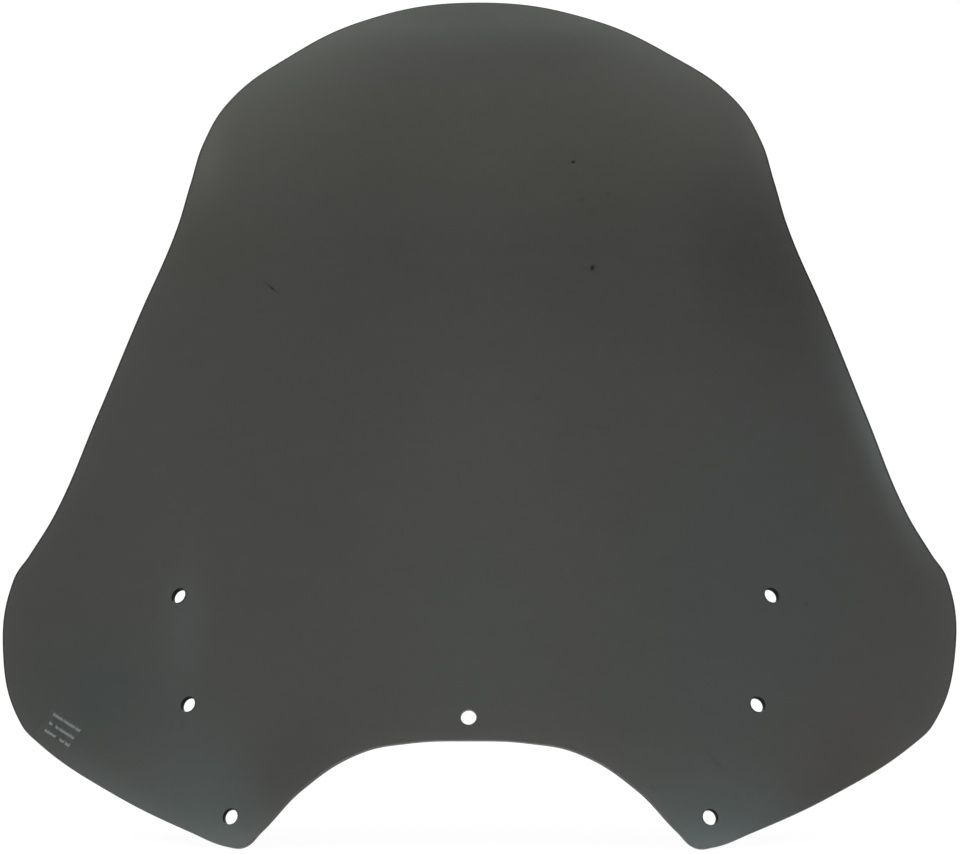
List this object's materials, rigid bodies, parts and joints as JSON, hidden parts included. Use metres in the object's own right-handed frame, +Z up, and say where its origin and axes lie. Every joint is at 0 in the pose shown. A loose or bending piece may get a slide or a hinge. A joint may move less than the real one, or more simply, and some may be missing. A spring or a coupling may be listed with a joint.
{
  "type": "windshield screen",
  "caption": "Bowed smoke-tinted windshield screen with flared cheeks, an arched lower cut-out and screw holes for a motorcycle or scooter fairing.",
  "frame": {"origin": "middle of the bounding box's base: on the mirror plane, level with the lowest points of the two bottom tips, halfway through the depth", "axes": "+X to the right of someone who looks at the outer face, -Y out of the outer face, +Z up"},
  "size_m": [0.7106, 0.2836, 0.6137],
  "materials": {
    "smoke_acrylic": "polished, see-through dark smoke tint",
    "clear_film": "satin clear film with pale grey print"
  },
  "bodies": {
    "root": {"screen": "smoke_acrylic", "approval_label": "clear_film"}
  },
  "joints": []
}
